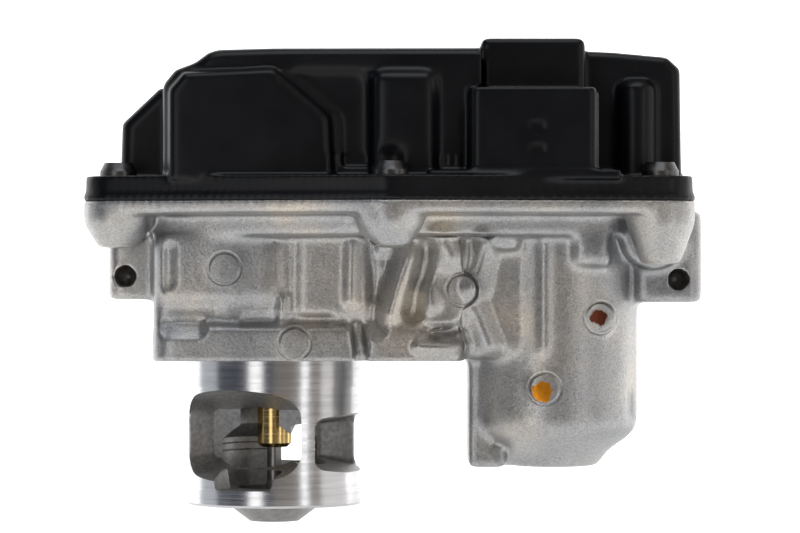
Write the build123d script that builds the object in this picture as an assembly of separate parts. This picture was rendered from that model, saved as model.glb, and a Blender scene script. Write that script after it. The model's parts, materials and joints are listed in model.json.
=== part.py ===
from build123d import *
from math import acos, cos, degrees, pi, radians, sin, sqrt, tan
import os

# Exhaust gas recirculation valve. Millimetres, +Z up, +X towards the motor.
# The origin is on the valve stem, at the underside of the mounting flange.

# Running and seated clearances, radial.
RUN = 0.03
SEAT = 0.02

# Gear train: pinion and idler wheel, then idler pinion and cam gear.
M_FAST, M_SLOW = 0.8, 1.0
Z_PINION, Z_IDLER, Z_SMALL, Z_CAM = 12, 44, 12, 50
PRESSURE = radians(25)
CAM_X = 16.0
IDLER_X = CAM_X + M_SLOW * (Z_SMALL + Z_CAM) / 2
MOTOR_X = IDLER_X + M_FAST * (Z_PINION + Z_IDLER) / 2

# Valve, spring and cam.
LIFT = 6.0
CAM_SWEEP = 160.0
STEM_R = 1.8
ROLLER_R = 4.0
RAMP_TOP = 52.5
RAMP_REST = 52.0
ROLLER_GAP = 0.15
GUIDE_X = -13.5
WELL_R = 10.5
WELL_FLOOR = 19.0
SPRING_R, WIRE_R, COILS = 7.0, 0.8, 4.5
SPRING_LOW, SPRING_HIGH = 20.0, 38.0

# Casting levels and outlines.
TRAY_FLOOR = 34.0
RIM_LOW, RIM_TOP = 35.7, 39.0
COVER_FLANGE = 45.0
OUTLINE_R = 8.5
SCREWS = [(-37.4, -20), (29, -37), (94.6, -25), (94.6, 25), (29, 37), (-37.4, 20)]
CAVITY_R = 5.0
CAVITY = [(-22, -13), (20, -25), (80, -14), (80, 14), (20, 25), (-22, 13)]
BLOCK = (-29.0, 47.0, 23.0)
PLATE_H, PLATE_Y = 9.0, 26.0
M6_CORE = 2.6
BOLT_X, BOLT_Y, BOLT_MID = 58.0, 38.0, 9.0
POT_R, POT_BORE = 21.25, 18.6
CAN_R = 18.0
MOTOR_SCREW_X, MOTOR_SCREW_YS = MOTOR_X - 12.4, (-19.5, 19.5)
EAR_Y = -12.0
LEFT_EAR, RIGHT_EAR = (-36.4, 20.6), (100.1, 19.8)

# Valve cage.
CAGE_R, CAGE_H = 22.1, 36.1
LAND_LOW, LAND_HIGH, RELIEF = -32.1, -6.6, 0.3
SPIGOT_R, SPIGOT_H, RECESS = 14.0, 12.0, 3.0
BUSH_R, BUSH_LOW = 4.25, -22.0
SEAT_R, SEAT_H = 14.0, 4.0
THROAT_R = 9.0

# Cover walls.
COVER_Y, COVER_WALL, FACE_Y = 30.2, 3.0, 33.4
TOWER_X = (51.0, 76.4)
MOTOR_PINS = (66.5, 72.5)
PLUG = (48.3, 78.6, -38.0, -26.0, 46.2, 66.0)


def cyl(r, z0, z1, x=0.0, y=0.0):
    return Pos(x, y, (z0 + z1) / 2) * Cylinder(r, z1 - z0)


def ring(r_out, r_in, z0, z1, x=0.0, y=0.0):
    return cyl(r_out, z0, z1, x, y) - cyl(r_in, z0 - 1, z1 + 1, x, y)


def box(x0, x1, y0, y1, z0, z1):
    centre = Pos((x0 + x1) / 2, (y0 + y1) / 2, (z0 + z1) / 2)
    return centre * Box(x1 - x0, y1 - y0, z1 - z0)


def rod_y(r, y0, y1, x, z):
    return Pos(x, (y0 + y1) / 2, z) * Rot(90, 0, 0) * Cylinder(r, y1 - y0)


def slab(face, z0, z1):
    return Pos(0, 0, z0) * extrude(face, amount=z1 - z0)


def prism(points, y0, y1):
    """A side profile of (x, z) points, extruded from y0 to y1."""
    face = make_face(Polyline([(x, y0, z) for x, z in points], close=True))
    return extrude(face, amount=y1 - y0, dir=(0, 1, 0))


def turned(points, x=0.0, y=0.0):
    """A profile of (radius, z) points turned about a vertical axis."""
    face = make_face(Polyline([(r, 0, z) for r, z in points], close=True))
    return Pos(x, y, 0) * revolve(face, Axis.Z)


def rounded(points, radius):
    """A plan of corner points, grown by radius with round corners."""
    face = make_face(Polyline(points, close=True))
    return offset(face, amount=radius, kind=Kind.ARC)


def gear(teeth, module, z0, z1, turn=0.0):
    """A spur gear with involute flanks and a little backlash."""
    pitch = module * teeth / 2
    base = pitch * cos(PRESSURE)
    tip, root = pitch + 0.96 * module, pitch - 1.25 * module
    half = pi / (2 * teeth) - 0.035 / pitch
    inv = tan(PRESSURE) - PRESSURE
    low = max(base, root)
    flank = []
    for i in range(4):
        r = low + (tip - low) * i / 3
        a = acos(base / r)
        flank.append((r, half + inv - (tan(a) - a)))
    if root < base:
        flank.insert(0, (root, flank[0][1]))
    points = []
    for i in range(teeth):
        mid = turn + 2 * pi * i / teeth
        for r, a in flank:
            points.append((r * cos(mid - a), r * sin(mid - a)))
        for r, a in reversed(flank):
            points.append((r * cos(mid + a), r * sin(mid + a)))
    return slab(make_face(Polyline(points, close=True)), z0, z1)


def soften(solid, radius, keep):
    """Rounds the edges of a solid that keep() picks."""
    return fillet([e for e in solid.edges() if keep(e)], radius)


def bevel(solid, size, keep):
    """Bevels the edges of a solid that keep() picks."""
    return chamfer([e for e in solid.edges() if keep(e)], size)


def upright(edge):
    return abs(edge.tangent_at(0.5).Z) > 0.99


outline = rounded(SCREWS, OUTLINE_R)
cavity = rounded(CAVITY, CAVITY_R) + Pos(MOTOR_X, 0) * Circle(POT_BORE + 1)

nodes = {}

# ---------------------------------------------------------------- casting
x0, x1, y1 = BLOCK
block = Pos((x0 + x1) / 2, 0, 0) * extrude(
    RectangleRounded(x1 - x0, 2 * y1, 4), amount=31)
plate = Pos((x0 + x1) / 2, 0, 0) * extrude(
    RectangleRounded(x1 - x0, 2 * PLATE_Y, 5), amount=PLATE_H)
plate = bevel(plate, 1.5, lambda e: e.center().Z > PLATE_H - 0.1)
pot_low = [
    (POT_R, 34), (POT_R, -15), (20.8, -17.2), (19, -19.3), (16.2, -21.2),
    (13.8, -23), (12.4, -25), (11.1, -26.7), (0, -26.7), (0, 34),
]
housing = block + plate + turned(pot_low, MOTOR_X)
housing += slab(offset(cavity, amount=3.5), TRAY_FLOOR - 3.5, RIM_LOW)
housing += slab(outline, RIM_LOW, RIM_TOP)
for i, (x, y) in enumerate(SCREWS):
    foot = 23.5 if i in (2, 3) else 27.5
    housing += turned([
        (0, 38), (OUTLINE_R, 38), (OUTLINE_R, 33.5), (4.8, foot), (0, foot),
    ], x, y)

# The two ears on the ends, and the foot under the motor pot.
ear = extrude(Pos(-33.8, -3) * RectangleRounded(13.6, 18, 3), amount=15.7)
housing += Pos(0, 0, 14.8) * ear
ear = extrude(Pos(97.5, -3) * RectangleRounded(17, 18, 3), amount=22.4)
housing += Pos(0, 0, 14.1) * ear
foot = soften(
    box(48.2, 57.6, -11, 11, -26.7, -21.2), 3,
    lambda e: abs(e.tangent_at(0.5).Y) > 0.9 and e.center().Z > -22
    and e.center().X > 50)
housing += foot + box(48.2, 54, -11, 11, -22, 6)

# Bosses for the motor's screws, and the web from the block to the motor pot.
for y in MOTOR_SCREW_YS:
    housing += cyl(4, 27, TRAY_FLOOR, MOTOR_SCREW_X, y)
web = box(44, 60, -19.6, 19.6, 0.5, 31)
housing += bevel(web, 2, lambda e: e.center().Z < 1 and abs(e.center().Y) > 19)

# Raised panels, ribs and ejector-pin marks of the front face.
front = -y1
for px0, px1, pz0, pz1, r in [
    (-27, 1.0, 14.7, 31, 2.5), (6.4, 22.9, 10.4, 31, 2), (37, 47, 8.4, 30, 2),
]:
    pad = Pos((px0 + px1) / 2, front, (pz0 + pz1) / 2) * Rot(90, 0, 0)
    pad = pad * extrude(RectangleRounded(px1 - px0, pz1 - pz0, r), amount=1.2)
    housing += bevel(pad, 0.8, lambda e: e.center().Y < front - 1.1)
housing += box(1.9, 3.7, front - 1.6, front, 8, 31)
housing += box(65.6, 67.8, -POT_R - 0.9, -POT_R + 3, 2, 31)
housing += prism([(31.4, 30), (37.2, 30), (31.8, 9), (26, 9)], front - 1.5, front)
for x, z, y in [
    (-11.3, 22.6, front - 1.5), (5.8, 4.4, -PLATE_Y - 0.3),
    (46.6, 17.3, front - 1.5), (66.7, -6.8, -POT_R - 0.2), (80.4, 10.5, -18.6),
]:
    housing += rod_y(3.9, y, y + 5, x, z)
bulge = box(73.4, 82.9, -23.4, -12, 23, 31)
housing += soften(bulge, 2.4, lambda e: e.center().Y < -20)
housing += rod_y(8.2, -19, 6, 93.6, 30.6)

# Hollows: scallops in front, core pockets behind, gear tray, motor pot.
for sx0, sx1, sz0, sz1 in [(-27, -12, 10.4, 13.6), (37.6, 46, 5.6, 7.6)]:
    housing -= box(sx0, sx1, front - 4, front + 1.6, sz0, sz1)
housing -= prism([(19.3, 10), (22.4, 10), (23.6, -1), (20.6, -1)], -27, -20.5)
housing -= box(87.9, 92, -11, -7, -14.6, -6.4)
for px0, px1 in [(-24, -4), (1, 20), (25, 42)]:
    pocket = Pos((px0 + px1) / 2, y1 - 7, 20) * Rot(-90, 0, 0)
    housing -= pocket * extrude(RectangleRounded(px1 - px0, 13, 2.5), amount=9)
housing -= slab(cavity, TRAY_FLOOR, RIM_TOP + 1)
housing += cyl(5.5, TRAY_FLOOR - 1, 44.5, CAM_X)
housing += cyl(4.5, TRAY_FLOOR - 1, 38, IDLER_X)
housing -= turned([
    (0, 35), (POT_BORE, 35), (POT_BORE, -15.5), (8, -15.5), (8, -21.5), (0, -21.5),
], MOTOR_X)
housing -= turned([
    (0, -1), (CAGE_R + 0.05, -1), (CAGE_R + 0.05, RECESS), (SPIGOT_R, RECESS),
    (SPIGOT_R, SPIGOT_H + 0.1), (6, SPIGOT_H + 0.1),
    (6, WELL_FLOOR), (WELL_R, WELL_FLOOR), (WELL_R, 35), (0, 35),
])
housing -= cyl(3, 20, 45, CAM_X)
housing -= cyl(2.5, 24, 39, IDLER_X)
housing -= cyl(1.5, 24, 35, GUIDE_X)
groove = offset(cavity, amount=3.2) - offset(cavity, amount=1.2)
housing -= slab(groove, RIM_TOP - 1.5, RIM_TOP + 1)
for x, y in SCREWS:
    housing -= cyl(2, 30, RIM_TOP + 1, x, y)
for y in MOTOR_SCREW_YS:
    housing -= cyl(1.5, 29.5, TRAY_FLOOR + 1, MOTOR_SCREW_X, y)
for sx in (-1, 1):
    for sy in (-1, 1):
        x, y = BOLT_MID + sx * BOLT_X / 2, sy * BOLT_Y / 2
        housing -= cyl(M6_CORE, -1, 13, x, y)
for x, z in (LEFT_EAR, RIGHT_EAR):
    hole = [(0, 1), (M6_CORE, 1), (M6_CORE, -12), (0, -13.5)]
    housing -= Pos(x, EAR_Y, z) * Rot(90, 0, 0) * turned(hole)
nodes["gear_housing"] = housing

# ------------------------------------------------------------- valve cage
cage = turned([
    (0, SPIGOT_H), (SPIGOT_R - SEAT, SPIGOT_H), (SPIGOT_R - SEAT, RECESS),
    (CAGE_R - 0.6, RECESS), (CAGE_R - 0.6, 0), (CAGE_R, 0), (CAGE_R, LAND_HIGH),
    (CAGE_R - RELIEF, LAND_HIGH), (CAGE_R - RELIEF, LAND_LOW), (CAGE_R, LAND_LOW),
    (CAGE_R, 0.6 - CAGE_H), (CAGE_R - 0.6, -CAGE_H), (0, -CAGE_H),
])
cage -= turned([
    (0, 13), (BUSH_R + SEAT, 13), (BUSH_R + SEAT, -11), (9.3, -11), (9.3, -16.4),
    (13.1, -20), (13.1, -21.2), (13.3, -21.4), (13.1, -21.6), (13.1, -23),
    (13.3, -23.2), (13.1, -23.4), (13.1, SEAT_H - CAGE_H),
    (SEAT_R + SEAT, SEAT_H - CAGE_H), (SEAT_R + SEAT, -CAGE_H - 1),
    (0, -CAGE_H - 1),
])
for angle, width, high, low, corner, draft in [
    (-27, 38.3, -6.5, -30.7, 8, 20), (72, 33.2, -12.8, -28.4, 4, 12),
    (160, 18.0, -12.8, -28.4, 4, 12),
]:
    way = radians(angle - 90)
    wall = Plane(
        origin=(24 * cos(way), 24 * sin(way), (high + low) / 2),
        x_dir=(-sin(way), cos(way), 0), z_dir=(-cos(way), -sin(way), 0))
    shape = wall * RectangleRounded(width, high - low, corner)
    cage -= extrude(shape, amount=16.5, taper=draft)
notch = Rot(0, 0, -20) * prism(
    [(-8.6, -27), (8.6, -27), (7.2, -31.9), (-7.2, -31.9)], -24, -10)
cage -= notch
nodes["valve_cage"] = cage

nodes["valve_seat"] = turned([
    (THROAT_R, SEAT_H - CAGE_H), (SEAT_R, SEAT_H - CAGE_H), (SEAT_R, -CAGE_H),
    (THROAT_R + 1.8, -CAGE_H), (THROAT_R, 1.8 - CAGE_H),
])
nodes["stem_guide_bush"] = turned([
    (STEM_R + RUN, SPIGOT_H), (BUSH_R, SPIGOT_H), (BUSH_R, BUSH_LOW + 1),
    (BUSH_R - 1, BUSH_LOW), (STEM_R + RUN, BUSH_LOW),
])

# --------------------------------------------------- stem, seal and spring
nodes["valve_stem"] = turned([
    (0, 43.3), (1.3, 43.3), (STEM_R, 42.8), (STEM_R, -30.5), (2.6, -32.6),
    (4.6, -34), (THROAT_R - 0.1, 1.7 - CAGE_H), (10.7, -36.2), (10.7, -37),
    (6.2, -40.4), (0, -40.4),
])
nodes["stem_seal"] = turned([
    (STEM_R + RUN, 12.2), (5.9, 12.2), (5.9, 16.5), (4.6, 16.5), (4.6, 14),
    (3.4, 14), (2.4, 16.3), (STEM_R + RUN, 15.6),
])
nodes["seal_cap"] = ring(5.9, 2.3, 16.6, WELL_FLOOR)
nodes["spring_seat"] = ring(9.6, 2.3, WELL_FLOOR, SPRING_LOW)
low, high = SPRING_LOW + WIRE_R + 0.05, SPRING_HIGH - WIRE_R - 0.05
coil = Helix(pitch=(high - low) / COILS, height=high - low, radius=SPRING_R)
wire = Plane(origin=coil @ 0, z_dir=coil % 0) * RegularPolygon(WIRE_R, 8)
nodes["return_spring"] = Pos(0, 0, low) * sweep(wire, path=coil, is_frenet=True)
nodes["spring_retainer"] = turned([
    (STEM_R + SEAT, 39.7), (5.5, 39.7), (9, 38.8), (9, SPRING_HIGH),
    (6, SPRING_HIGH), (5, 37), (STEM_R + SEAT, 37),
])

# The yoke: a fork for the roller and a lug that slides on the guide pin.
roller_z = RAMP_REST - ROLLER_GAP - ROLLER_R
yoke = box(-5, 5, -3.5, 3.5, 39.8, 50.4)
yoke -= box(-2.7, 2.7, -5, 5, roller_z - ROLLER_R - 0.4, 52)
yoke = soften(yoke, 1.5, lambda e: e.center().Z > 50 and abs(e.center().Y) > 3)
yoke += box(GUIDE_X, -4, -2.6, 2.6, 41.5, 44.5)
yoke += cyl(4, 41.5, 44.5, GUIDE_X)
yoke -= cyl(1.5 + RUN, 40, 46, GUIDE_X)
yoke -= cyl(STEM_R + SEAT, 39, 46)
yoke -= Pos(0, 0, roller_z) * Rot(0, 90, 0) * Cylinder(1.5 + SEAT, 12)
nodes["stem_yoke"] = yoke
roller = turned([
    (1.5 + RUN, -2.4), (ROLLER_R - 0.4, -2.4), (ROLLER_R, -2), (ROLLER_R, 2),
    (ROLLER_R - 0.4, 2.4), (1.5 + RUN, 2.4),
])
nodes["cam_roller"] = Pos(0, 0, roller_z) * Rot(0, 90, 0) * roller
nodes["roller_pin"] = Pos(0, 0, roller_z) * Rot(0, 90, 0) * Cylinder(1.5, 10)
nodes["yoke_guide_pin"] = cyl(1.5 - SEAT, 24, 50, GUIDE_X)

# -------------------------------------------------------------- gear train
wheel = gear(Z_CAM, M_SLOW, 49.5, 56.5) - cyl(21.5, 49, 57)
wheel += ring(22, 5, RAMP_TOP, 55.5) + cyl(6, 45.6, 61.5)
for i in range(6):
    way = pi * i / 3 + pi / 6
    wheel -= cyl(2.4, 50, 57, 9.8 * cos(way), 9.8 * sin(way))
ramp = []
for i in range(24):
    way = 195 - 8.7 * i
    depth = LIFT * min(max((180 - way) / CAM_SWEEP, 0), 1)
    high, low = RAMP_TOP + 0.4, RAMP_REST - depth
    spoke = Plane(
        origin=(0, 0, 0), x_dir=(cos(radians(way)), sin(radians(way)), 0),
        z_dir=(sin(radians(way)), -cos(radians(way)), 0))
    ramp.append(spoke * Pos(CAM_X, (high + low) / 2) * Rectangle(5.4, high - low))
wheel += loft(ramp, ruled=True)
wheel -= cyl(3 + RUN, 45, 58) + cyl(4 + SEAT, 59.5, 62)
nodes["cam_gear"] = Pos(CAM_X, 0, 0) * wheel
nodes["cam_gear_pin"] = cyl(3, 20, 57.8, CAM_X)
nodes["cam_thrust_washer"] = ring(5, 3 + RUN, 44.5, 45.5, CAM_X)
nodes["sensor_magnet"] = cyl(4, 59.5, 62, CAM_X)

idler = gear(Z_IDLER, M_FAST, 40, 45) - ring(15.6, 6.6, 43, 46)
idler += gear(Z_SMALL, M_SLOW, 44, 57, pi + pi / Z_SMALL) + cyl(4.2, 39.1, 41)
idler -= cyl(2.5 + RUN, 38, 58)
nodes["idler_gear"] = Pos(IDLER_X, 0, 0) * idler
nodes["idler_pin"] = cyl(2.5, 24.1, 59, IDLER_X)
nodes["idler_thrust_washer"] = ring(4.2, 2.5 + RUN, 38, 39, IDLER_X)
pinion = gear(Z_PINION, M_FAST, 39, 46, pi + pi / Z_PINION)
nodes["motor_pinion"] = Pos(MOTOR_X, 0, 0) * (pinion - cyl(1.6, 38, 47))

# ------------------------------------------------------------------- motor
nodes["motor_shaft"] = cyl(1.6, -18.3, 47, MOTOR_X)
nodes["motor_can"] = turned([
    (CAN_R, 33), (CAN_R, -14.5), (6.5, -14.5), (6.5, -19.5), (0, -19.5),
    (0, -18.7), (5.6, -18.7), (5.6, -13.5), (CAN_R - 1, -13.5), (CAN_R - 1, 33),
], MOTOR_X)
magnets = ring(CAN_R - 1, 14.2, -8, 24)
magnets -= box(-5, 5, -20, 20, -9, 25)
nodes["motor_magnets"] = Pos(MOTOR_X, 0, 0) * magnets
core = ring(13.6, 1.6, -4, 20)
coils = ring(11, 5, -7, -4.1) + ring(11, 5, 20.1, 23)
for i in range(5):
    spin = Rot(0, 0, 72 * i)
    core -= spin * (box(6, 15, -1, 1, -5, 21) + box(6, 11.2, -3.2, 3.2, -5, 21))
    coils += spin * box(6.1, 11, -3, 3, -6, 22)
nodes["armature_core"] = Pos(MOTOR_X, 0, 0) * core
nodes["armature_windings"] = Pos(MOTOR_X, 0, 0) * coils
drum = ring(4.2, 1.6, 23.5, 31)
for i in range(5):
    drum -= Rot(0, 0, 72 * i) * box(3.4, 5, -0.25, 0.25, 25, 32)
nodes["commutator"] = Pos(MOTOR_X, 0, 0) * drum
end = cyl(CAN_R - 0.1, 33.05, 36, MOTOR_X)
for y in MOTOR_SCREW_YS:
    end += cyl(3.4, TRAY_FLOOR, 36, MOTOR_SCREW_X, y)
    end += box(
        MOTOR_SCREW_X - 2, MOTOR_SCREW_X + 3, min(y, y * 0.6), max(y, y * 0.6),
        TRAY_FLOOR, 36)
brushes = []
for side in (-1, 1):
    inner, outer = sorted((MOTOR_X + side * 5, MOTOR_X + side * 12))
    end += box(inner, outer, -3.4, 3.4, 24.8, 33.1)
    inner, outer = sorted((MOTOR_X + side * 4.25, MOTOR_X + side * 10))
    end -= box(inner, outer, -2.05, 2.05, 25.9, 29.6)
    brushes.append(box(inner, outer, -2, 2, 26, 29.5))
end -= cyl(4.5 + SEAT, 24, 37, MOTOR_X)
for x in MOTOR_PINS:
    end -= box(x - 0.8, x + 0.8, -12.5, -11.5, 33, 37)
for y in MOTOR_SCREW_YS:
    end -= cyl(1.7, 33, 37, MOTOR_SCREW_X, y)
nodes["motor_end_plate"] = end
nodes["motor_brushes"] = Compound(children=brushes)
bearings = [
    ring(5.6 - SEAT, 1.6 + RUN, -18.2, -14, MOTOR_X),
    ring(4.5, 1.6 + RUN, 31.5, 36.5, MOTOR_X),
]
nodes["motor_bearings"] = Compound(children=bearings)
nodes["motor_cushion_ring"] = ring(14, 9, -15.5, -14.5, MOTOR_X)
heads = [
    cyl(1.5 - SEAT, 30, 36, MOTOR_SCREW_X, y) + cyl(2.8, 36, 38.2, MOTOR_SCREW_X, y)
    for y in MOTOR_SCREW_YS]
nodes["motor_screws"] = Compound(children=[
    h - box(MOTOR_SCREW_X - 3, MOTOR_SCREW_X + 3, y - 0.35, y + 0.35, 37.3, 39)
    for h, y in zip(heads, MOTOR_SCREW_YS)])
nodes["motor_leads"] = Compound(children=[
    box(x - 0.7, x + 0.7, -12.4, -11.6, 33.5, 48.8) for x in MOTOR_PINS])

# ------------------------------------------------------------------- cover
wall = COVER_WALL
outer = prism([
    (-26, 42), (-26, 67), (-23, 70.6), (-18.2, 72.4), (-15, 74.8), (-12.7, 75.5),
    (1, 75.9), (51, 76), (51, 42),
], -COVER_Y, COVER_Y)
outer = soften(outer, 2.8, lambda e: abs(e.center().Y) > COVER_Y - 0.1
               and e.center().Z > 60 and e.center().X < 50.9)
outer = soften(outer, 2.5, lambda e: upright(e) and e.center().X < 0)
step = prism([
    (-37.8, 42), (-37.3, 58.3), (-28, 67.1), (-20, 67.1), (-20, 42),
], -12, 12)
outer += soften(step, 3, lambda e: e.center().X < -21 and e.center().Z > 46
                and abs(e.center().Y) > 11)
tower = box(*TOWER_X, -26, 22, 42, 78.5)
tower = soften(tower, 1.6, lambda e: e.center().Z > 78.4 or upright(e))
dome = prism([
    (70, 42), (70, 76.3), (84, 75.6), (97, 74.4), (100.2, 71.4), (100.6, 42),
], -17, 17)
dome = soften(dome, 2.2, lambda e: abs(e.center().Y) > 16.9 and e.center().X > 71
              and e.center().Z > 43)
face = prism([
    (-24.4, 44), (-24.4, 65.6), (-20.8, 69.8), (1, 70.8), (14.6, 59.2), (15.4, 44),
], -FACE_Y, -COVER_Y + 3)
face = soften(face, 2, lambda e: e.center().Y < 0.1 - FACE_Y and e.center().Z > 45)
cover = outer + tower + dome + face
bulge = box(24.4, 40.4, -FACE_Y, -COVER_Y + 3, 42, 70.2)
bulge = soften(bulge, 2.9, lambda e: upright(e) and e.center().Y < -COVER_Y)
cover += bevel(bulge, 1.6, lambda e: e.center().Z > 70 and e.center().Y < -COVER_Y)
bulge = cyl(5, 42, 68.7, 89.4, -16)
cover += bevel(bulge, 1.8, lambda e: e.center().Z > 68)
for x in (41.6, 43.6, 45.4):
    cover += cyl(0.7, 42, 61.5, x, -COVER_Y)
cover += slab(outline, RIM_TOP, RIM_TOP + 1.4)
cover += slab(offset(outline, amount=-0.6), RIM_TOP, COVER_FLANGE)
x0, x1, y0, y1, z0, z1 = PLUG
cover += box(38.5, 84.4, y0 - 0.6, -15, 44, 46.2)
shroud = soften(box(*PLUG), 1.8, lambda e: upright(e) and e.center().Y < y0 + 1)
cover += soften(shroud, 0.5, lambda e: e.center().Z > z1 - 0.1)
cover += box(x0 - 1.8, x1 + 0.9, -30, -28, z0 - 0.5, z1 - 0.8)

# The face is stepped back beside the bulge.
cover -= prism([
    (4, 70.5), (17, 59.5), (17.4, 47), (24.4, 47), (24.4, 68), (22, 70.5),
], -COVER_Y - 1, 1.4 - COVER_Y)
cover -= box(x0 + 2, x1 - 2, y0 + 2, y1 - 2, 50, z1 + 1)
for z in (50, 55.5):
    cover -= box(62, 66.3, y0 - 1, y0 + 0.4, z, z + 2.6)

# Inside: the room over the gears, the bosses and the posts of the board.
room = prism([
    (-23.2, 44), (-23.2, 65.4), (-20.6, 68.4), (-11.7, 72.6), (1, 73.1),
    (51, 73.2), (51, 44),
], wall - COVER_Y, COVER_Y - wall)
room += box(50, TOWER_X[1] - 2.4, -23.4, 19.4, 44, 75.9)
room += prism([
    (70, 44), (70, 73), (90, 71.8), (97.2, 71.6), (97.4, 58), (97.6, 44),
], -14.4, 14.4)
room += slab(cavity, RIM_TOP - 1, COVER_FLANGE)
room += prism([(-34.6, 47), (-34.3, 57), (-27, 64), (-22, 64), (-22, 47)], -9.2, 9.2)
room -= ring(4.8, 2.5 + RUN, 57.8, 80, IDLER_X) + cyl(4.8, 60, 80, IDLER_X)
posts = [(6, -21), (32, -12), (6, 9), (32, 9)]
for x, y in posts:
    room -= ring(2.6, 0.9, 67.6, 80, x, y) + cyl(2.6, 72, 80, x, y)
cover -= room
for x, y in SCREWS:
    cover -= cyl(3.8 + SEAT, RIM_TOP - 1, COVER_FLANGE + 1, x, y)
    cover -= cyl(5, COVER_FLANGE, 52, x, y)

# Connector blades: up in the plug, in through its wall, then to the board.
pins, slots = [], []
for i in range(6):
    x, half, end_y = 52 + 3.4 * i, 0.4, -21.6 + 2 * i
    if i > 3:
        x, half, end_y = MOTOR_PINS[i - 4], 0.8, -11.4
    blade = box(x - half, x + half, -32.4, -31.6, 49.6, 58)
    foot = box(x - half, x + half, -32.4, end_y, 48.8, 49.6)
    slots.append(box(x - half - SEAT, x + half + SEAT, -32.4 - SEAT, -20,
                     48.8 - SEAT, 49.6 + SEAT))
    slots.append(box(x - half - SEAT, x + half + SEAT, -32.4 - SEAT,
                     SEAT - 31.6, 49, 51))
    pin = blade + foot
    if i < 4:
        pin += box(x - half, x + half, end_y - 0.8, end_y, 48.8, 70)
        pin += box(33 - half, x + half, end_y - 0.8, end_y, 69.2, 70)
        pin += box(33 - half, 33 + half, end_y - 0.8, end_y, 67.6, 70)
    pins.append(pin)
for slot in slots:
    cover -= slot
nodes["gearbox_cover"] = cover
nodes["connector_pins"] = Compound(children=pins)

board = box(3, 36, -24, 12, 66, 67.6)
for x, y in posts:
    board -= cyl(1.1, 65, 69, x, y)
nodes["sensor_board"] = board
nodes["hall_sensor"] = box(CAM_X - 2.5, CAM_X + 2.5, -2, 2, 64, 66)
nodes["board_screws"] = Compound(children=[
    cyl(0.9 - SEAT, 62, 71.5, x, y) + cyl(1.9, 64.6, 66, x, y) for x, y in posts])

seal = offset(cavity, amount=3.15) - offset(cavity, amount=1.25)
nodes["cover_seal"] = slab(seal, RIM_TOP - 1.5, RIM_TOP)
nodes["cover_sleeves"] = Compound(children=[
    ring(3.8, 2.3, RIM_TOP, COVER_FLANGE, x, y) for x, y in SCREWS])
star = []
for i in range(12):
    r = 2.3 if i % 2 else 1.7
    star.append((r * cos(pi * i / 6), r * sin(pi * i / 6)))
socket = slab(make_face(Polyline(star, close=True)), 46.6, 50)
screw = turned([
    (0, 30.5), (2 - SEAT, 30.5), (2 - SEAT, 45), (4.5, 45), (4.5, 46.2),
    (3.4, 48.3), (0, 48.3),
]) - socket
nodes["cover_screws"] = Compound(children=[Pos(x, y, 0) * screw for x, y in SCREWS])

os.makedirs("parts", exist_ok=True)
for name, solid in nodes.items():
    export_step(solid, f"parts/{name}.step")
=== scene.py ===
import bmesh
import bpy
import json
import math
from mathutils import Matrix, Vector


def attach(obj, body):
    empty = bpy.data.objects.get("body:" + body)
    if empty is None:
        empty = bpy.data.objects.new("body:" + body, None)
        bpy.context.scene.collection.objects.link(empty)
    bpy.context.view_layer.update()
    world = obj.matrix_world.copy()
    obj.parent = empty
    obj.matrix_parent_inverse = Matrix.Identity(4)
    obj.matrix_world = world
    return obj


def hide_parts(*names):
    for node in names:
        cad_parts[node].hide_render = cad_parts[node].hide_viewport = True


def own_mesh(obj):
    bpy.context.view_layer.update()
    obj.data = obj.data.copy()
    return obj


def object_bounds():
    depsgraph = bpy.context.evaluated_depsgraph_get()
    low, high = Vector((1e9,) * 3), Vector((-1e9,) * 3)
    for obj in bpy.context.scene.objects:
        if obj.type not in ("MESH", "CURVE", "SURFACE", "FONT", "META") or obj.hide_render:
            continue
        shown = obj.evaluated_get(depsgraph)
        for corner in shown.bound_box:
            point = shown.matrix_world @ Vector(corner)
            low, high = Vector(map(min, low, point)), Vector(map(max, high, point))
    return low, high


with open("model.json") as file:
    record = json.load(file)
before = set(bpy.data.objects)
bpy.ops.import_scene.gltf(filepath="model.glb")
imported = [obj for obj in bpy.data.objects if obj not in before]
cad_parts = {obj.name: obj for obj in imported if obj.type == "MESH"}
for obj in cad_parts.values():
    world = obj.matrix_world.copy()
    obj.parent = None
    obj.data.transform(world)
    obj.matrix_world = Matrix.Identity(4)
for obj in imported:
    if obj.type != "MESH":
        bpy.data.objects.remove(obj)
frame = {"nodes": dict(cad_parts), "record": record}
nodes = frame["nodes"]
cad_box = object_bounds()
MM = 0.001

# ------------------------------------------------------------- materials


def material(name):
    """A new material with its node tree, shader and object coordinates."""
    mat = bpy.data.materials.new(name)
    mat.use_nodes = True
    tree = mat.node_tree
    shader = tree.nodes["Principled BSDF"]
    coords = tree.nodes.new("ShaderNodeTexCoord").outputs["Object"]
    return mat, tree, shader, coords


def noise(tree, coords, scale, detail=2.0, rough=0.5, stretch=None):
    """Noise with `scale` cells to the metre, stretched along an axis if asked."""
    if stretch:
        mapping = tree.nodes.new("ShaderNodeMapping")
        mapping.inputs["Scale"].default_value = stretch
        tree.links.new(coords, mapping.inputs["Vector"])
        coords = mapping.outputs["Vector"]
    node = tree.nodes.new("ShaderNodeTexNoise")
    node.inputs["Scale"].default_value = scale
    node.inputs["Detail"].default_value = detail
    node.inputs["Roughness"].default_value = rough
    tree.links.new(coords, node.inputs["Vector"])
    return node.outputs["Fac"]


def ramp(tree, fac, stops):
    """A colour ramp through stops of (place, colour or grey)."""
    node = tree.nodes.new("ShaderNodeValToRGB")
    elements = node.color_ramp.elements
    while len(elements) < len(stops):
        elements.new(0.5)
    for element, (place, colour) in zip(elements, stops):
        element.position = place
        if not isinstance(colour, tuple):
            colour = (colour, colour, colour)
        element.color = (*colour, 1.0)
    tree.links.new(fac, node.inputs["Fac"])
    return node.outputs["Color"]


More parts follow.
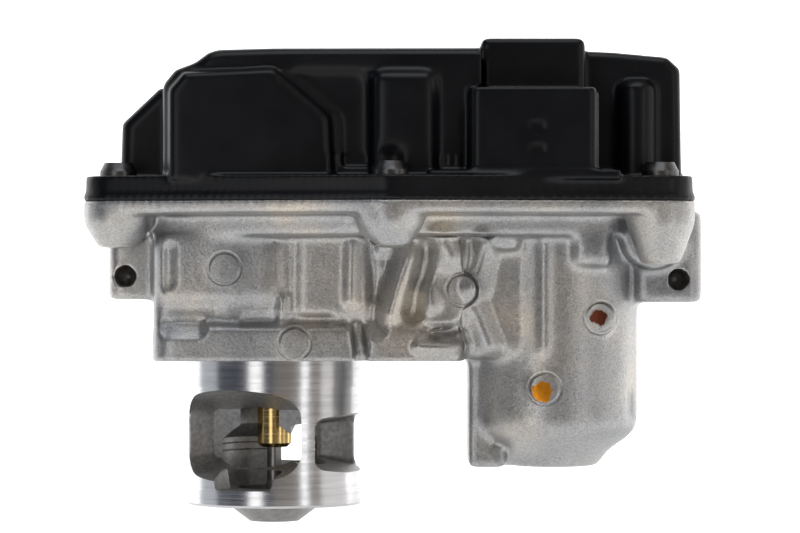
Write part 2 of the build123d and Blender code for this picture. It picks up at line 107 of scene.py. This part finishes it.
# The mix node's sockets: the factor, the two colours and the blended colour.
FACTOR, FIRST, SECOND, BLENDED = 0, 6, 7, 2


def mix(tree, fac, a, b):
    """Blends two colours or sockets by fac, a number or a socket."""
    node = tree.nodes.new("ShaderNodeMix")
    node.data_type = "RGBA"
    for value, place in ((fac, FACTOR), (a, FIRST), (b, SECOND)):
        socket = node.inputs[place]
        if isinstance(value, bpy.types.NodeSocket):
            tree.links.new(value, socket)
        elif isinstance(value, tuple):
            socket.default_value = (*value, 1.0)
        else:
            socket.default_value = value
    return node.outputs[BLENDED]


def bump(tree, shader, layers):
    """Chains bump layers of (height socket, distance in mm, strength)."""
    last = None
    for height, distance, strength in layers:
        node = tree.nodes.new("ShaderNodeBump")
        node.inputs["Distance"].default_value = distance * MM
        node.inputs["Strength"].default_value = strength
        tree.links.new(height, node.inputs["Height"])
        if last:
            tree.links.new(last, node.inputs["Normal"])
        last = node.outputs["Normal"]
    tree.links.new(last, shader.inputs["Normal"])


def vector_length(tree, vector):
    """How long a vector is, as a socket."""
    node = tree.nodes.new("ShaderNodeVectorMath")
    node.operation = "LENGTH"
    tree.links.new(vector, node.inputs[0])
    return node.outputs["Value"]


def between(tree, value, zero_at, one_at):
    """0 where value is zero_at (mm), rising to 1 where it is one_at."""
    node = tree.nodes.new("ShaderNodeMapRange")
    node.inputs["From Min"].default_value = zero_at * MM
    node.inputs["From Max"].default_value = one_at * MM
    tree.links.new(value, node.inputs["Value"])
    return node.outputs["Result"]


# Cells to the metre in the edge of a dab of paint.
SPOT_NOISE = 420
# How much a distance along x, y and z counts for a mark on the front.
FRONT_REACH = Vector((1, 0.12, 1))


def spot(tree, coords, place, radius, edge, wobble):
    """1 inside a soft, slightly uneven ball round place (mm), 0 outside."""
    shift = tree.nodes.new("ShaderNodeVectorMath")
    shift.operation = "SUBTRACT"
    shift.inputs[1].default_value = Vector(place) * MM
    tree.links.new(coords, shift.inputs[0])
    away = vector_length(tree, shift.outputs[0])
    uneven = tree.nodes.new("ShaderNodeMath")
    uneven.operation = "MULTIPLY_ADD"
    tree.links.new(noise(tree, coords, SPOT_NOISE), uneven.inputs[0])
    uneven.inputs[1].default_value = wobble * MM
    tree.links.new(away, uneven.inputs[2])
    return between(tree, uneven.outputs[0], radius + edge, radius)


def disc(tree, coords, place, radius, edge):
    """1 inside a round mark of `radius` mm that faces the front, 0 outside."""
    flat = tree.nodes.new("ShaderNodeVectorMath")
    flat.operation = "MULTIPLY_ADD"
    flat.inputs[1].default_value = FRONT_REACH
    flat.inputs[2].default_value = -FRONT_REACH * Vector(place) * MM
    tree.links.new(coords, flat.inputs[0])
    return between(tree, vector_length(tree, flat.outputs[0]), radius + edge, radius)


def times(tree, a, b):
    """The product of two colours."""
    node = tree.nodes.new("ShaderNodeMix")
    node.data_type = "RGBA"
    node.blend_type = "MULTIPLY"
    node.inputs[FACTOR].default_value = 1.0
    tree.links.new(a, node.inputs[FIRST])
    tree.links.new(b, node.inputs[SECOND])
    return node.outputs[BLENDED]


# Round marks left by the ejector pins, as (x, y, z) on the casting's front.
PIN_MARKS = [
    (-11.3, -24.5, 22.6), (5.8, -26, 4.4), (46.6, -24.5, 17.3),
    (66.7, -21.4, -6.8), (80.4, -18.6, 10.5)]
# The raised disc of a pin mark and the wider disc sunk under it: radius and
# edge, then the bump's distance, all in mm, and the strength of both bumps.
PIN_DISC, DISC_LIFT = (3.3, 0.5), 0.45
PIN_RING, RING_LIFT = (4.1, 0.35), -0.3
PIN_STRENGTH = 0.9
# Dabs of paint: place, radius and colour, with one edge and unevenness.
PAINT_EDGE, PAINT_WOBBLE = 0.35, 2.6
PAINT = [
    ((66.1, -21.0, -7.6), 3.6, (0.62, 0.23, 0.012)),
    ((79.8, -18.3, 10.6), 3.1, (0.12, 0.032, 0.016))]


def cast_aluminium():
    """Sandy cast metal in warm and cool patches, with pin marks and paint."""
    mat, tree, shader, coords = material("cast_aluminium")
    patches = noise(tree, coords, 42, 3)
    grain = noise(tree, coords, 2300, 3, 0.75)
    colour = ramp(tree, patches, [
        (0.3, (0.33, 0.335, 0.345)), (0.46, (0.43, 0.43, 0.43)),
        (0.58, (0.48, 0.465, 0.44)), (0.72, (0.62, 0.56, 0.48))])
    colour = times(tree, colour, ramp(
        tree, grain, [(0.34, 0.62), (0.5, 0.92), (0.6, 1.0), (0.74, 1.3)]))
    lift = [disc(tree, coords, place, *PIN_DISC) for place in PIN_MARKS]
    sink = [disc(tree, coords, place, *PIN_RING) for place in PIN_MARKS]
    for place, size, tint in PAINT:
        dab = spot(tree, coords, place, size, PAINT_EDGE, PAINT_WOBBLE)
        colour = mix(tree, dab, colour, tint)
    tree.links.new(colour, shader.inputs["Base Color"])
    shader.inputs["Metallic"].default_value = 0.9
    rough = ramp(tree, noise(tree, coords, 900, 2), [(0.3, 0.31), (0.7, 0.44)])
    tree.links.new(rough, shader.inputs["Roughness"])
    marks = [(height, DISC_LIFT, PIN_STRENGTH) for height in lift]
    marks += [(height, RING_LIFT, PIN_STRENGTH) for height in sink]
    bump(tree, shader, marks + [
        (noise(tree, coords, 260, 3), 0.25, 0.5),
        (noise(tree, coords, 1500, 3, 0.7), 0.09, 0.85)])
    return mat


# Radii about the stem, in mm: the cage is dull within the first, bright beyond
# the second.
DULL_WITHIN, BRIGHT_BEYOND = 21.2, 21.6
# Cells to the metre along x, y and z: the tool's fine lines and broader bands.
TOOL_LINES = (60, 60, 7000)
TOOL_BANDS = (30, 30, 900)


def turned_aluminium():
    """Turned about the stem: bright outside, duller inside and in the windows."""
    mat, tree, shader, coords = material("turned_aluminium")
    lines = noise(tree, coords, 1.0, 2, 0.6, TOOL_LINES)
    broad = noise(tree, coords, 1.0, 2, 0.5, TOOL_BANDS)
    flat = tree.nodes.new("ShaderNodeVectorMath")
    flat.operation = "MULTIPLY"
    flat.inputs[1].default_value = (1, 1, 0)
    tree.links.new(coords, flat.inputs[0])
    radius = vector_length(tree, flat.outputs[0])
    outside = between(tree, radius, DULL_WITHIN, BRIGHT_BEYOND)
    bright = ramp(tree, broad, [(0.3, (0.52, 0.52, 0.53)), (0.7, (0.64, 0.64, 0.65))])
    dull = ramp(tree, noise(tree, coords, 900, 3), [
        (0.3, (0.3, 0.295, 0.29)), (0.7, (0.46, 0.455, 0.45))])
    colour = mix(tree, outside, dull, bright)
    tree.links.new(colour, shader.inputs["Base Color"])
    shader.inputs["Metallic"].default_value = 1.0
    rough = ramp(tree, lines, [(0.3, 0.17), (0.7, 0.27)])
    rough = mix(tree, outside, (0.5, 0.5, 0.5), rough)
    tree.links.new(rough, shader.inputs["Roughness"])
    bump(tree, shader, [(lines, 0.012, 0.4)])
    return mat


# How much rougher the roughest places are than the smoothest.
METAL_WEAR, PLASTIC_WEAR = 0.12, 0.08


def metal(name, low, high, roughness, scale=500, stretch=None, depth=0.01):
    """A worked metal whose colour and roughness vary a little."""
    mat, tree, shader, coords = material(name)
    wear = noise(tree, coords, scale if not stretch else 1.0, 3, 0.6, stretch)
    tree.links.new(ramp(tree, wear, [(0.3, low), (0.7, high)]), shader.inputs["Base Color"])
    shader.inputs["Metallic"].default_value = 1.0
    rough = ramp(tree, wear, [(0.3, roughness), (0.7, roughness + METAL_WEAR)])
    tree.links.new(rough, shader.inputs["Roughness"])
    bump(tree, shader, [(wear, depth, 0.4)])
    return mat


def moulded(name, low, high, roughness, grain=1800, depth=0.02, specular=0.5):
    """A moulded plastic or rubber with a fine skin texture."""
    mat, tree, shader, coords = material(name)
    cloud = noise(tree, coords, 90, 3)
    skin = noise(tree, coords, grain, 2, 0.6)
    tree.links.new(ramp(tree, cloud, [(0.3, low), (0.7, high)]), shader.inputs["Base Color"])
    rough = ramp(tree, cloud, [(0.3, roughness), (0.7, roughness + PLASTIC_WEAR)])
    tree.links.new(rough, shader.inputs["Roughness"])
    shader.inputs["Specular IOR Level"].default_value = specular
    bump(tree, shader, [(skin, depth, 0.5)])
    return mat


finishes = {
    "cast_aluminium": cast_aluminium(),
    "turned_aluminium": turned_aluminium(),
    "black_plastic": moulded(
        "black_plastic", (0.0015, 0.0019, 0.003), (0.0026, 0.0032, 0.0048), 0.3,
        specular=0.24),
    "dark_steel": metal("dark_steel", (0.07, 0.07, 0.075), (0.16, 0.155, 0.15), 0.3),
    "bright_steel": metal("bright_steel", (0.5, 0.5, 0.51), (0.62, 0.62, 0.63), 0.2),
    "valve_steel": metal("valve_steel", (0.22, 0.215, 0.21), (0.36, 0.35, 0.34), 0.3),
    "spring_steel": metal("spring_steel", (0.2, 0.21, 0.23), (0.32, 0.33, 0.35), 0.25),
    "lamination_steel": metal(
        "lamination_steel", (0.16, 0.16, 0.17), (0.4, 0.4, 0.41), 0.35,
        stretch=(20, 20, 2500)),
    "brass": metal(
        "brass", (0.62, 0.43, 0.15), (0.8, 0.6, 0.27), 0.16, stretch=(80, 80, 4000)),
    "copper_wire": metal(
        "copper_wire", (0.5, 0.16, 0.06), (0.72, 0.3, 0.13), 0.28,
        stretch=(200, 200, 2600), depth=0.05),
    "ferrite": moulded("ferrite", (0.02, 0.02, 0.021), (0.035, 0.035, 0.036), 0.5),
    "carbon": moulded("carbon", (0.012, 0.012, 0.013), (0.022, 0.022, 0.023), 0.4),
    "rubber": moulded("rubber", (0.012, 0.012, 0.013), (0.02, 0.02, 0.021), 0.55),
    "gear_plastic": moulded("gear_plastic", (0.6, 0.56, 0.45), (0.7, 0.67, 0.57), 0.42),
    "circuit_board": moulded(
        "circuit_board", (0.008, 0.06, 0.02), (0.014, 0.09, 0.03), 0.3),
}
slots = {part["node"]: part["material_slot"] for part in frame["record"]["subparts"]}


def paint(obj, mat):
    """Gives an object one material."""
    obj.data.materials.clear()
    obj.data.materials.append(mat)


for name, obj in nodes.items():
    paint(obj, finishes[slots[name]])

# ------------------------------------------- moulded and cast outer skins
# What smoothing may do with a point: move it freely, only sideways, or not.
FREE, LEVEL, FIXED = range(3)
# The size of a skin's faces, in mm.
VOXEL = 0.5
# A point is on the front when its normal's y is under this.
FACING_FRONT = -0.35
# A patch takes in only what lies in front of this y, in mm.
PATCH_FRONT_OF = -17


def smoothstep(x):
    """A soft step from 0 at x = 0 to 1 at x = 1."""
    x = min(max(x, 0.0), 1.0)
    return x * x * (3 - 2 * x)


def smooth(bm, verts, rounds, upright=True):
    """Smooths verts, and moves them up or down only when upright."""
    for _ in range(rounds):
        bmesh.ops.smooth_vert(
            bm, verts=verts, factor=0.5, use_axis_x=True, use_axis_y=True,
            use_axis_z=upright)


def add_blocks(mesh, blocks):
    """Adds boxes (x0, x1, y0, y1, z0, z1) in mm to a mesh."""
    bm = bmesh.new()
    bm.from_mesh(mesh)
    for x0, x1, y0, y1, z0, z1 in blocks:
        middle = Vector((x0 + x1, y0 + y1, z0 + z1)) * MM / 2
        size = Vector((x1 - x0, y1 - y0, z1 - z0)) * MM
        for vert in bmesh.ops.create_cube(bm, size=1.0)["verts"]:
            vert.co = middle + vert.co * size
    bm.to_mesh(mesh)
    bm.free()


def remeshed(node, voxel, blocks):
    """A new object with the node and the blocks in one mesh of even faces."""
    source = nodes[node]
    mesh = bpy.data.meshes.new_from_object(source)
    add_blocks(mesh, blocks)
    piece = bpy.data.objects.new(f"{node}_skin", mesh)
    bpy.context.scene.collection.objects.link(piece)
    piece.matrix_world = source.matrix_world.copy()
    remesh = piece.modifiers.new("remesh", "REMESH")
    remesh.mode = "VOXEL"
    remesh.voxel_size = voxel * MM
    dg = bpy.context.evaluated_depsgraph_get()
    mesh = bpy.data.meshes.new_from_object(piece.evaluated_get(dg))
    piece.modifiers.clear()
    piece.data = mesh
    return piece


def push_at(x, z, strokes):
    """How far the strokes raise the front at x and z, all in mm."""
    push = 0.0
    for x0, z0, x1, z1, radius, height in strokes:
        run = (x1 - x0) ** 2 + (z1 - z0) ** 2
        t = ((x - x0) * (x1 - x0) + (z - z0) * (z1 - z0)) / run if run else 0
        t = min(max(t, 0.0), 1.0)
        away = math.hypot(x - x0 - t * (x1 - x0), z - z0 - t * (z1 - z0))
        push += height * smoothstep(1 - away / radius)
    return push


def soften(mesh, hold, rounds, patch, strokes):
    """Smooths a skin, then works the patch and the strokes into its front."""
    bm = bmesh.new()
    bm.from_mesh(mesh)
    kinds = {v: hold(*(v.co / MM)) for v in bm.verts}
    free = [v for v, kind in kinds.items() if kind == FREE]
    smooth(bm, free, rounds)
    smooth(bm, [v for v, kind in kinds.items() if kind == LEVEL], rounds, False)
    bm.normal_update()
    facing = [v for v in free if v.normal.y < FACING_FRONT]
    x0, x1, z0, z1, more = patch
    near = [v for v in free if v.co.y < PATCH_FRONT_OF * MM
            and x0 < v.co.x / MM < x1 and z0 < v.co.z / MM < z1]
    smooth(bm, near, more)
    if strokes:
        for v in facing:
            v.co.y -= push_at(v.co.x / MM, v.co.z / MM, strokes) * MM
    bm.to_mesh(mesh)
    bm.free()
    for polygon in mesh.polygons:
        polygon.use_smooth = True


def stand_for(piece, node):
    """The piece replaces a node of the valve's body and takes its finish."""
    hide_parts(node)
    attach(piece, "valve_body")
    paint(piece, finishes[slots[node]])


def skin(node, hold, rounds, patch, strokes=(), blocks=()):
    """A node's shape with the soft edges of a casting or a moulding.

    hold(x, y, z) in mm is FREE, LEVEL (moves only sideways) or FIXED.
    patch is (x0, x1, z0, z1, rounds), a part of the front with softer forms.
    Each stroke (x0, z0, x1, z1, radius, height) raises or sinks the front.
    Each block (x0, x1, y0, y1, z0, z1) in mm joins the shape.
    """
    piece = remeshed(node, VOXEL, blocks)
    soften(piece.data, hold, rounds, patch, strokes)
    stand_for(piece, node)


# Places on the casting that smoothing leaves level or fixed, in mm: the rim, the
# flange's underside up to its right end, the motor's bore, the cage's seat and
# the ear holes.
RIM_Z = 38.4
FLANGE_Z, FLANGE_END = 0.4, 47.6
MOTOR_X, MOTOR_BORE_R, MOTOR_LOW = 69.4, 20, -16
CAGE_SEAT_R, CAGE_SEAT_Z = 23.5, 4
EAR_HOLES = [(-36.4, 20.6), (100.1, 19.8)]
EAR_HOLE_R, EAR_BACK = 3.4, 3
# Swells (+) and hollows (-) of the casting's front, in mm.
CAST_STROKES = [
    (33.8, 25, 28.5, 12, 5, 2.4), (28, 24, 25.5, 8, 4, -1.6), (42.4, 28.5, 44, 26, 6, 2.2),
    (38, 27, 34.5, 12, 3.5, -2), (37.5, 16.4, 39, 14, 4, 1.3), (36, 3.5, 47, 3.5, 2.6, 1.4),
    (37, 8, 46, 8, 2, -1.2), (19.8, 28, 19.5, 15, 3, 1.1), (24.5, 28, 25, 16, 2.5, -1.2),
    (3, 29, 3, 17, 2.2, -0.8), (52, 28, 50, 18, 5, 2.6), (50, 12, 53, 4, 5, 2),
    (-25, 8, -18, 8, 3.5, -1.6), (-6, 10, 14, 10, 2.5, -0.8), (-25, 27, -25, 19, 3, -1),
]
# The front of the block's right half, up to the motor's pot.
CAST_PATCH = (21, 56, 3, 31, 22)
# The CAD's two front slots are so deep that they break into the bolt holes
# behind them, so the skin makes the slots shallower.
SLOT_FLOORS = [(-27.4, -11.6, -22.4, -21.2, 10.0, 14.0), (37.2, 46.4, -22.4, -21.2, 5.2, 8.0)]
CAST_ROUNDS = 30

# The cover's foot, and the room of the plug's blades: x, y and lowest z, in mm.
COVER_FOOT_Z = 39.6
PLUG_X, PLUG_Y, PLUG_Z = (50, 77), (-36.4, -27.6), 48
# The middle of the cover's front.
COVER_PATCH = (2, 46.5, 50, 74, 26)
COVER_ROUNDS = 7


def casting_hold(x, y, z):
    """The rim and the flange's underside stay level, and the bores stay put."""
    if z > RIM_Z or z < FLANGE_Z and x < FLANGE_END:
        return LEVEL
    if math.hypot(x - MOTOR_X, y) < MOTOR_BORE_R and z > MOTOR_LOW:
        return FIXED
    if math.hypot(x, y) < CAGE_SEAT_R and z < CAGE_SEAT_Z:
        return FIXED
    for hole_x, hole_z in EAR_HOLES:
        if math.hypot(x - hole_x, z - hole_z) < EAR_HOLE_R and y < EAR_BACK:
            return FIXED
    return FREE


def cover_hold(x, y, z):
    """The cover's foot stays level, and the plug's room stays put."""
    if z < COVER_FOOT_Z:
        return LEVEL
    in_plug = PLUG_X[0] < x < PLUG_X[1] and PLUG_Y[0] < y < PLUG_Y[1] and z > PLUG_Z
    return FIXED if in_plug else FREE


skin("gear_housing", casting_hold, CAST_ROUNDS, CAST_PATCH, CAST_STROKES, SLOT_FLOORS)
skin("gearbox_cover", cover_hold, COVER_ROUNDS, COVER_PATCH)

# -------------------------------------------------------- return spring
joints = {joint["name"]: joint for joint in frame["record"]["behaviour"]["joints"]}
LIFT = joints["valve_lift"]["range_m"][1]


def shortening_spring():
    """Copies the return spring into a piece of its own that stands in for it on the valve's
    body.
    """
    source = nodes["return_spring"]
    piece = bpy.data.objects.new("return_spring_coil", source.data.copy())
    bpy.context.scene.collection.objects.link(piece)
    piece.matrix_world = source.matrix_world.copy()
    stand_for(piece, "return_spring")
    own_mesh(piece)


shortening_spring()

# ------------------------------------------------- camera, floor and light
# The photo's width and focal length in pixels, and the sensor's width in mm.
WIDTH, FOCAL_PX, SENSOR = 800, 3500, 36.0
CAMERA_PLACE = (31.4 * MM, -875 * MM, 23 * MM)
cam = bpy.data.cameras.new("camera")
cam.sensor_width = SENSOR
cam.lens = FOCAL_PX / WIDTH * SENSOR
camera = bpy.data.objects.new("camera", cam)
camera.location = CAMERA_PLACE
camera.rotation_euler = (math.pi / 2, 0, 0)
bpy.context.scene.collection.objects.link(camera)
bpy.context.scene.camera = camera


def plain(name, colour, glow):
    """A pale matt surface that glows a little, so that it reads as white."""
    mat, tree, shader, coords = material(name)
    soft = ramp(tree, noise(tree, coords, 3), [(0.0, colour), (1.0, colour + 0.01)])
    tree.links.new(soft, shader.inputs["Base Color"])
    shader.inputs["Roughness"].default_value = 0.9
    shader.inputs["Emission Color"].default_value = (1, 1, 1, 1)
    shader.inputs["Emission Strength"].default_value = glow
    return mat


def sheet(name, corners, mat):
    """A flat four-cornered surface of the stage."""
    mesh = bpy.data.meshes.new(name)
    mesh.from_pydata([Vector(c) for c in corners], [], [(0, 1, 2, 3)])
    obj = bpy.data.objects.new(name, mesh)
    bpy.context.scene.collection.objects.link(obj)
    obj.data.materials.append(mat)


def table(name, radius, height, mat):
    """The round pale top that the part stands on."""
    mesh = bpy.data.meshes.new(name)
    bm = bmesh.new()
    bmesh.ops.create_circle(bm, cap_ends=True, segments=96, radius=radius)
    bm.to_mesh(mesh)
    bm.free()
    obj = bpy.data.objects.new(name, mesh)
    obj.location = (*TABLE_MIDDLE, height)
    bpy.context.scene.collection.objects.link(obj)
    obj.data.materials.append(mat)


# The table clears the valve's head when the valve is fully open.
TABLE_GAP = 0.6 * MM
TABLE = cad_box[0].z - LIFT - TABLE_GAP
TABLE_RADIUS = 0.125
TABLE_MIDDLE = (30 * MM, 40 * MM)
TABLE_HEIGHT = 0.45
FLOOR = TABLE - TABLE_HEIGHT
# The floor's half width and front edge, and the backdrop's place and top.
SIDE, FRONT, BACK, TOP = 3, -1.6, 1.1, 2
# How light the stage's surfaces are.
PALE = 0.85
pale = plain("pale_floor", PALE, 0.5)
table("table", TABLE_RADIUS, TABLE, pale)
back_edge = [(SIDE, BACK, FLOOR), (-SIDE, BACK, FLOOR)]
sheet("floor", [(-SIDE, FRONT, FLOOR), (SIDE, FRONT, FLOOR), *back_edge], pale)
sheet("backdrop", [*reversed(back_edge), (SIDE, BACK, TOP), (-SIDE, BACK, TOP)],
      plain("pale_backdrop", PALE, 1.0))

# What every light points at.
AIM = Vector((0.03, 0, 0.02))


def softbox(name, azimuth, height, distance, width, tall, watts, tint=(1, 1, 1)):
    """A soft light towards the object; azimuth 0 is the camera's side."""
    lamp = bpy.data.lights.new(name, "AREA")
    lamp.shape = "RECTANGLE"
    lamp.size = width
    lamp.size_y = tall
    lamp.energy = watts
    lamp.color = tint
    obj = bpy.data.objects.new(name, lamp)
    way = math.radians(azimuth - 90)
    obj.location = AIM + Vector((
        distance * math.cos(way), distance * math.sin(way), height))
    obj.rotation_euler = (AIM - obj.location).to_track_quat("-Z", "Y").to_euler()
    bpy.context.scene.collection.objects.link(obj)


softbox("front_left_light", -23.7, 0, 1.1, 0.33, 1.2, 2.3, (1, 0.98, 0.96))
softbox("front_right_light", 40.4, 0, 1.1, 0.18, 1.2, 1.3, (0.97, 0.98, 1))
softbox("left_light", -108, 0.1, 0.9, 1.1, 1.2, 2.4, (0.95, 0.98, 1))
softbox("right_light", 95, 0.1, 0.9, 1.1, 1.2, 3.0)
softbox("top_light", 0, 1.2, 0.35, 1.0, 0.8, 5.5, (0.92, 0.96, 1))


# The light from all round: the first tint comes from the whole left half, the
# last from the far right.
WORLD_TINTS = [
    (0.0, (0.05, 0.06, 0.085)), (0.02, (0.3, 0.27, 0.24)), (1.0, (0.34, 0.3, 0.27))]
WORLD_STRENGTH = 0.8


def studio_world():
    """Dim light all round: bluish from the left, warmer from the right."""
    world = bpy.data.worlds.new("studio")
    world.use_nodes = True
    tree = world.node_tree
    split = tree.nodes.new("ShaderNodeSeparateXYZ")
    coords = tree.nodes.new("ShaderNodeTexCoord").outputs["Generated"]
    tree.links.new(coords, split.inputs[0])
    sky = ramp(tree, split.outputs["X"], WORLD_TINTS)
    tree.links.new(sky, tree.nodes["Background"].inputs["Color"])
    tree.nodes["Background"].inputs["Strength"].default_value = WORLD_STRENGTH
    bpy.context.scene.world = world


studio_world()
bpy.context.scene.view_settings.view_transform = "Standard"
